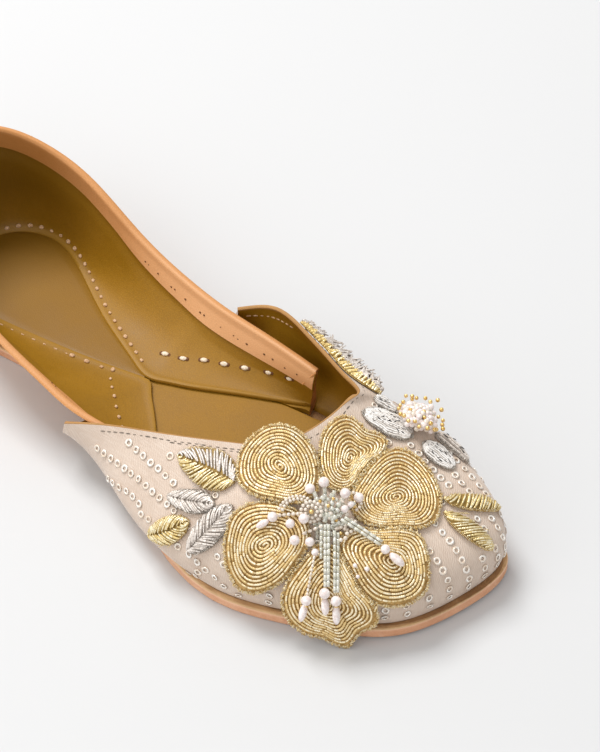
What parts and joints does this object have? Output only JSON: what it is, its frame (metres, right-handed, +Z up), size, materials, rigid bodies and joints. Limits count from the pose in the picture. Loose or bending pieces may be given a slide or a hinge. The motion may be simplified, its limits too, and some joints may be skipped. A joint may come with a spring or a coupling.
{
  "type": "mojari shoe",
  "caption": "Flat leather slip-on shoe for the right foot with an embroidered fabric vamp, a large corded flower, wire-work leaves and beads.",
  "frame": {"origin": "on the flat underside of the sole, 100 mm in front of the back of the heel", "axes": "+X from the heel to the toe, +Y to the inner side of the foot, +Z up"},
  "size_m": [0.2461, 0.093, 0.054],
  "materials": {
    "sole_leather": "matte",
    "tan_leather": "satin",
    "raw_silk": "matte",
    "gold_cord": "satin",
    "silver_cord": "satin",
    "pearl": "gloss"
  },
  "bodies": {
    "root": {"flower_heart": "pearl", "heel_sock": "tan_leather", "insole": "tan_leather", "leaf_1": "gold_cord", "leaf_2": "silver_cord", "leaf_3": "silver_cord", "leaf_4": "gold_cord", "leaf_5": "gold_cord", "leaf_6": "gold_cord", "leaf_7": "gold_cord", "outsole": "sole_leather", "pearl_drop_1": "pearl", "pearl_drop_2": "pearl", "pearl_drop_3": "pearl", "pearl_drop_4": "pearl", "pearl_drop_5": "pearl", "petal_1": "gold_cord", "petal_2": "gold_cord", "petal_3": "gold_cord", "petal_4": "gold_cord", "petal_5": "gold_cord", "petal_6": "gold_cord", "quarter": "tan_leather", "side_heart": "pearl", "side_petal_1": "silver_cord", "side_petal_2": "silver_cord", "side_petal_3": "silver_cord", "side_petal_4": "silver_cord", "vamp": "raw_silk"}
  },
  "joints": []
}
